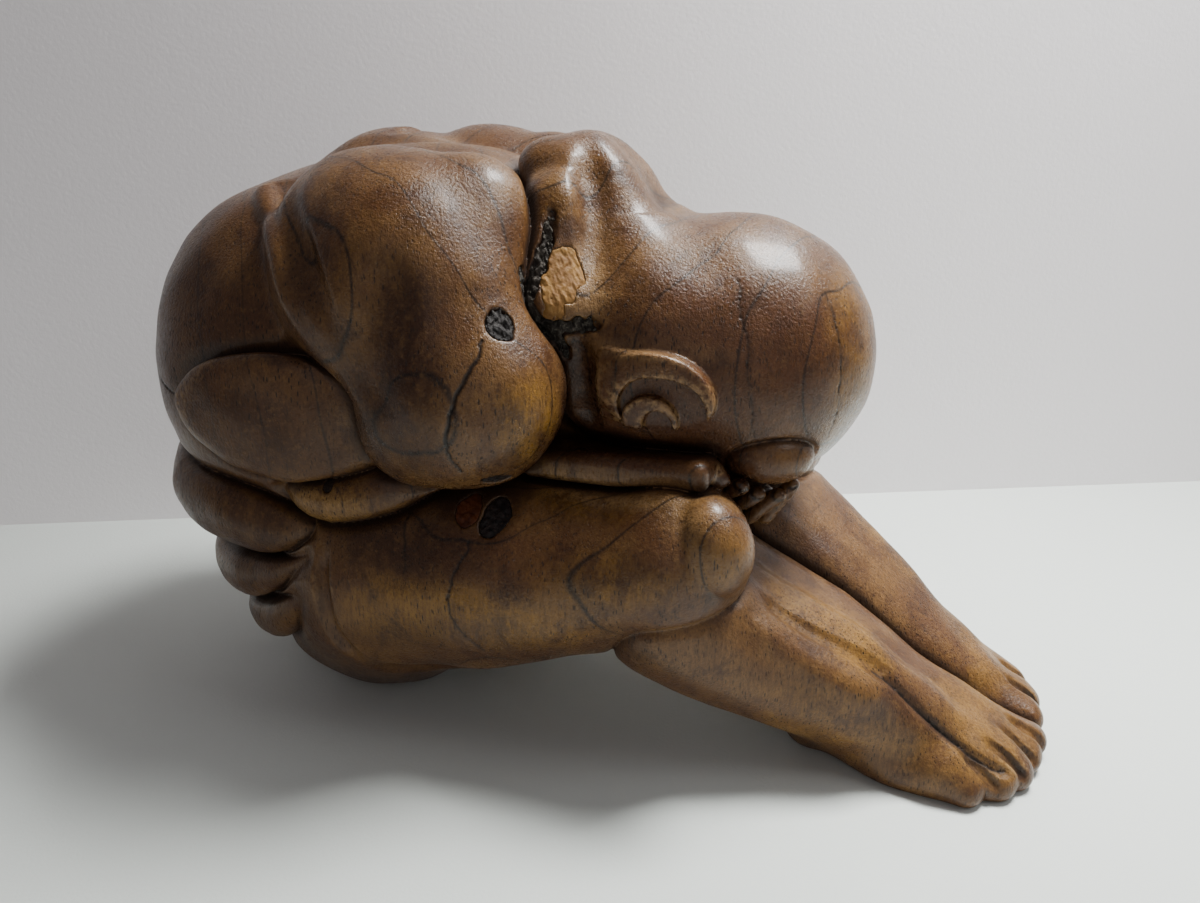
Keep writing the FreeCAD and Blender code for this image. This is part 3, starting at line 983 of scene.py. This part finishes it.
def ring_lines(n):
    """Thin dark growth lines on upright shells round the pith."""
    bend = n.node("ShaderNodeTexNoise")
    n.wire(n.coords((1, 1, 0.5)), bend.inputs["Vector"])
    bend.inputs["Scale"].default_value = 0.02
    shift = n.node("ShaderNodeVectorMath", operation="MULTIPLY_ADD")
    n.wire(bend.outputs["Color"], shift.inputs[0])
    shift.inputs[1].default_value = (0.022, 0.022, 0)
    shift.inputs[2].default_value = [-0.011 - v for v in PITH]
    place = n.coords((1, 1, 0), shift.outputs[0])
    length = n.node("ShaderNodeVectorMath", operation="LENGTH")
    n.wire(place, length.inputs[0])
    phase = n.math("MULTIPLY", length.outputs["Value"], 1 / 17.0)
    saw = n.math("ABSOLUTE", n.math("SUBTRACT", n.math("FRACT", phase), 0.5))
    thin = n.spread(saw, 0.0, 0.034, 1.0, 0.0)
    soft = n.spread(saw, 0.0, 0.30, 1.0, 0.0)
    return thin, soft


def carved_wood():
    """Old waxed hardwood: brown with golden and reddish parts, dark pores, painted shade and dirt in the
    hollows, and partly painted light on top of the thighs.
    """
    n = Nodes("carved_wood")
    pores, fibres, mottle, clouds = wood_pattern(n)
    thin, soft = ring_lines(n)
    fibre_tone = n.spread(fibres, 0.30, 0.72)
    colour = n.blend(n.spread(clouds, 0.36, 0.66), BROWN, LIGHT_BROWN)
    streaks = n.math("ADD", clouds, n.math("MULTIPLY", fibres, 0.35))
    # Gold patches; those on top of the thighs are partly painted light.
    gold = n.math("MULTIPLY", n.measure("gold"), n.spread(streaks, 0.42, 0.74))
    colour = n.blend(n.math("MINIMUM", gold, 1.0), colour, GOLDEN)
    # Pale patches; those on top of the thighs are partly painted light.
    pale = n.math("MULTIPLY", n.measure("pale"), n.spread(mottle, 0.25, 0.7, 0.45, 1.0))
    colour = n.blend(pale, colour, WORN)
    red = n.math("MULTIPLY", n.measure("red"), n.spread(mottle, 0.25, 0.75, 0.55, 0.95))
    colour = n.blend(red, colour, REDDISH)
    patchy = n.noise(n.coords((1, 1, 0.55)), 0.11, 4.0, 0.65, 0.4)
    dark = n.math("MULTIPLY", n.measure("dark"), n.spread(patchy, 0.34, 0.58, 0.45, 1.0))
    colour = n.blend(dark, colour, DARK_BROWN)
    smudge = n.spread(n.noise(n.coords((1, 1, 0.7)), 0.085, 7.0, 0.78, 0.5), 0.48, 0.64)
    colour = n.blend(n.math("MULTIPLY", smudge, 0.68), colour, DARK_BROWN)
    colour = n.blend(n.math("MULTIPLY", n.math("SUBTRACT", 1.0, fibre_tone), 0.42), colour, DARK_BROWN)
    colour = n.blend(n.math("MULTIPLY", soft, 0.14), colour, DARK_BROWN)
    sheltered = n.math("SUBTRACT", 1.0, n.math("MULTIPLY", n.measure("matte"), 1.7), clamp=True)
    colour = n.blend(n.math("MULTIPLY", thin, n.math("MULTIPLY", sheltered, 0.85)), colour, SOOT)
    colour = n.blend(n.math("MULTIPLY", n.spread(mottle, 0.52, 0.72), 0.40), colour, LIGHT_BROWN)
    speckle = n.noise(n.coords((1, 1, 0.5)), 1.4, 4.0, 0.75)
    colour = n.blend(n.math("MULTIPLY", n.spread(speckle, 0.50, 0.66), 0.45), colour, DARK_BROWN)
    colour = n.blend(n.math("MULTIPLY", pores, 0.88), colour, SOOT)
    wear = n.math("MULTIPLY", n.spread(n.measure("edge"), 0.12, 0.5), n.spread(mottle, 0.35, 0.65))
    colour = n.blend(n.math("MULTIPLY", wear, 0.5), colour, WORN)
    stains = n.spread(n.noise(n.coords((1, 1, 0.3)), 0.23, 5.0, 0.7, 0.8), 0.63, 0.72)
    colour = n.blend(n.math("MULTIPLY", stains, 0.45), colour, SOOT)
    dots = n.spread(n.cells(n.coords((1, 1, 0.7)), 0.85), 0.10, 0.20, 1.0, 0.0)
    dusty = n.spread(n.noise(n.coords(), 0.05, 3.0), 0.45, 0.62)
    colour = n.blend(n.math("MULTIPLY", n.math("MULTIPLY", dots, dusty), 0.6), colour, LIGHT_BROWN)
    # Painted shade and dirt: darker where the surface is closed in, by the hollows measure, and in random
    # patches.
    shade_and_grime = n.spread(n.math("ADD", n.measure("hollow"), n.math("MULTIPLY", patchy, 0.18)), 0.22, 0.75)
    colour = n.blend(n.math("MULTIPLY", shade_and_grime, 0.85), colour, SHADE_AND_GRIME)
    colour = n.blend(n.math("MULTIPLY", n.measure("line"), 0.9), colour, SOOT)
    n.wire(colour, n.shader.inputs["Base Color"])
    gloss = n.math("MULTIPLY_ADD", mottle, 0.26, 0.16)
    gloss = n.math("MULTIPLY_ADD", n.measure("matte"), 0.20, gloss)
    gloss = n.math("MULTIPLY_ADD", pores, 0.25, gloss)
    gloss = n.math("MULTIPLY_ADD", shade_and_grime, 0.25, gloss, clamp=True)
    n.wire(gloss, n.shader.inputs["Roughness"])
    n.shader.inputs["Specular IOR Level"].default_value = 0.22
    n.shader.inputs["Coat Weight"].default_value = 0.20
    n.shader.inputs["Coat Roughness"].default_value = 0.20
    grain = n.math("MULTIPLY_ADD", pores, -0.8, n.math("MULTIPLY", fibres, 0.6))
    lumps = n.bump(n.noise(n.coords((1, 1, 0.8)), 0.16, 2.0), 0.9, 0.35)
    leather = n.bump(n.noise(n.coords(), 1.1, 3.0, 0.65), 0.34, 1.0, lumps)
    n.wire(n.bump(grain, 0.14, 0.9, leather), n.shader.inputs["Normal"])
    return n.material


def inlay_material(name, tones, speckle, roughness, coarse, depth):
    """tones are the dark, middle and light colours; coarse is the scale of the texture per mm."""
    n = Nodes(name)
    big = n.noise(n.coords((1, 1, 0.6)), coarse * 0.35, 4.0, 0.65, 0.8)
    small = n.noise(n.coords(), coarse * 1.6, 4.0, 0.7)
    colour = n.blend(n.spread(big, 0.36, 0.62), tones[0], tones[1])
    colour = n.blend(n.math("MULTIPLY", n.spread(small, 0.52, 0.70), speckle), colour, tones[2])
    n.wire(colour, n.shader.inputs["Base Color"])
    n.wire(n.math("MULTIPLY_ADD", small, 0.25, roughness - 0.12), n.shader.inputs["Roughness"])
    n.shader.inputs["Specular IOR Level"].default_value = 0.22
    n.wire(n.bump(n.math("ADD", big, small), depth, 1.0), n.shader.inputs["Normal"])
    return n.material


DARK_RESIN = ((0.006, 0.005, 0.005, 1), (0.018, 0.012, 0.011, 1), (0.07, 0.05, 0.045, 1))
# slot, tones, speckle, roughness, texture scale and bump depth of each inlay
INLAY_LOOKS = {
    "neck_bark": ("bark", ((0.008, 0.006, 0.005, 1), (0.045, 0.038, 0.031, 1), (0.16, 0.145, 0.12, 1)),
                  0.8, 0.75, 0.45, 0.5),
    "neck_knot": ("pale_knot", ((0.15, 0.070, 0.018, 1), (0.24, 0.125, 0.034, 1), (0.31, 0.19, 0.070, 1)),
                  0.6, 0.65, 0.4, 0.2),
    "shoulder_knot": ("dead_knot", ((0.006, 0.005, 0.005, 1), (0.022, 0.019, 0.018, 1),
                                    (0.085, 0.078, 0.070, 1)), 0.5, 0.62, 0.5, 0.5),
    "thigh_filler": ("brown_filler", ((0.040, 0.011, 0.005, 1), (0.100, 0.030, 0.011, 1),
                                      (0.15, 0.06, 0.025, 1)), 0.5, 0.3, 0.5, 0.15),
    "thigh_dark_plug": ("dark_filler", DARK_RESIN, 0.4, 0.35, 0.8, 0.3),
    "armpit_filler": ("dark_filler", DARK_RESIN, 0.4, 0.35, 0.8, 0.3),
    "waist_peg": ("dark_peg", ((0.012, 0.008, 0.007, 1), (0.035, 0.020, 0.014, 1), (0.10, 0.06, 0.04, 1)),
                  0.4, 0.5, 1.2, 0.2),
}


# ------------------------------------------------------------------ the pieces
bare_wood = whole_figure()
cracks = [crack(bare_wood, widest, places) for widest, places in CRACKS]
bare_wood = Carved(bare_wood, cracks, 0.2)
dark_lines = Joined(cracks + nail_edges(RIGHT) + nail_edges(LEFT), 0)
inlays = inlay_forms()
pocketed = Carved(bare_wood, [form for form, sunk, lumpy in inlays.values()], 0)
figure = carve("carved_figure_wood", pocketed, LOW, HIGH, VOXEL, TRIANGLES)
paint_measures(figure, bare_wood, dark_lines)
figure.data.materials.append(carved_wood())
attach(figure, "root")
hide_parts("carved_figure")


made = []
for node, (form, sunk, lumpy) in inlays.items():
    gap = TIGHT_GAP if node == "neck_knot" else GAP
    body = Inside(Carved(form, made, 0), Rough(bare_wood, lumpy, 0.6), gap, sunk)
    piece = carve(node + "_inlay", body, form.low - 2, form.high + 2, FINE_VOXEL)
    made.append(form)
    slot, tones, speckle, roughness, coarse, depth = INLAY_LOOKS[node]
    piece.data.materials.append(inlay_material(node, tones, speckle, roughness, coarse, depth))
    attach(piece, "root")
    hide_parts(node)


# ------------------------------------------------------------------ camera, floor and light
def camera():
    """Looks down at the figure's right side from a little above its shoulders."""
    data = bpy.data.cameras.new("camera")
    data.sensor_width = 36
    data.lens = 27
    cam = bpy.data.objects.new("camera", data)
    bpy.context.scene.collection.objects.link(cam)
    cam.location = (0.0968, -0.3132, 0.215)
    cam.rotation_euler = (math.radians(90 - 20), 0, math.radians(17))
    data.clip_start = 0.01
    data.clip_end = 20
    bpy.context.scene.camera = cam


def area_light(name, place, aim, size, watts, colour=(1, 1, 1)):
    data = bpy.data.lights.new(name, "AREA")
    data.shape = "RECTANGLE"
    data.size, data.size_y = size
    data.energy = watts
    data.color = colour
    lamp = bpy.data.objects.new(name, data)
    bpy.context.scene.collection.objects.link(lamp)
    lamp.location = place
    lamp.rotation_mode = "QUATERNION"
    lamp.rotation_quaternion = (Vector(aim) - Vector(place)).to_track_quat("-Z", "Y")
    return data


def plain(name, colour, roughness, grain, one_sided=False):
    """A painted surface with a faint grain. A one-sided one can be seen through from behind."""
    n = Nodes(name)
    mottle = n.noise(n.coords((0.2, 0.2, 0.2)), 0.5, 4.0)
    tone = n.blend(n.math("MULTIPLY", mottle, 0.12), colour, [0.9 * v for v in colour[:3]] + [1])
    n.wire(tone, n.shader.inputs["Base Color"])
    n.shader.inputs["Roughness"].default_value = roughness
    n.wire(n.bump(n.noise(n.coords(), grain, 4.0), 0.25, 0.5), n.shader.inputs["Normal"])
    if one_sided:
        out = n.tree.nodes["Material Output"]
        mix = n.node("ShaderNodeMixShader")
        n.wire(n.node("ShaderNodeNewGeometry").outputs["Backfacing"], mix.inputs[0])
        n.wire(n.shader.outputs[0], mix.inputs[1])
        n.wire(n.node("ShaderNodeBsdfTransparent").outputs[0], mix.inputs[2])
        n.wire(mix.outputs[0], out.inputs["Surface"])
    return n.material


def sheet(name, corners, material):
    mesh = bpy.data.meshes.new(name)
    mesh.from_pydata(corners, [], [(0, 1, 2, 3)])
    obj = bpy.data.objects.new(name, mesh)
    obj.rotation_euler = (0, 0, math.radians(22.3))
    bpy.context.scene.collection.objects.link(obj)
    mesh.materials.append(material)


def room():
    """A pale table top that ends at a pale wall close behind the figure."""
    size, back_edge = 3.0, 0.171
    sheet("floor", [(-size, -size, 0), (size, -size, 0), (size, back_edge, 0), (-size, back_edge, 0)],
          plain("floor", (0.62, 0.66, 0.63, 1), 0.6, 0.8))
    sheet("wall", [(-size, back_edge, 0), (size, back_edge, 0), (size, back_edge, 2),
                   (-size, back_edge, 2)],
          plain("wall", (0.90, 0.865, 0.88, 1), 0.8, 0.5, True))


def world():
    w = bpy.data.worlds.new("studio")
    w.use_nodes = True
    w.node_tree.nodes["Background"].inputs["Color"].default_value = (0.80, 0.73, 0.77, 1)
    w.node_tree.nodes["Background"].inputs["Strength"].default_value = 0.21
    bpy.context.scene.world = w


camera()
room()
world()
key = area_light("window", (0.22, 0.23, 0.80), (0.10, 0.12, 0.0), (0.42, 0.24), 9.6, (1.0, 1.0, 0.98))
key.spread = math.radians(98)
area_light("side_window", (0.9, -0.05, 0.9), (0.1, 0.1, 0.05), (0.5, 0.5), 2.5, (0.97, 0.98, 1.0))
area_light("front_fill", (0.35, -1.0, 0.5), (0, 0, 0.1), (0.9, 0.9), 1.1, (1.0, 0.94, 0.92))
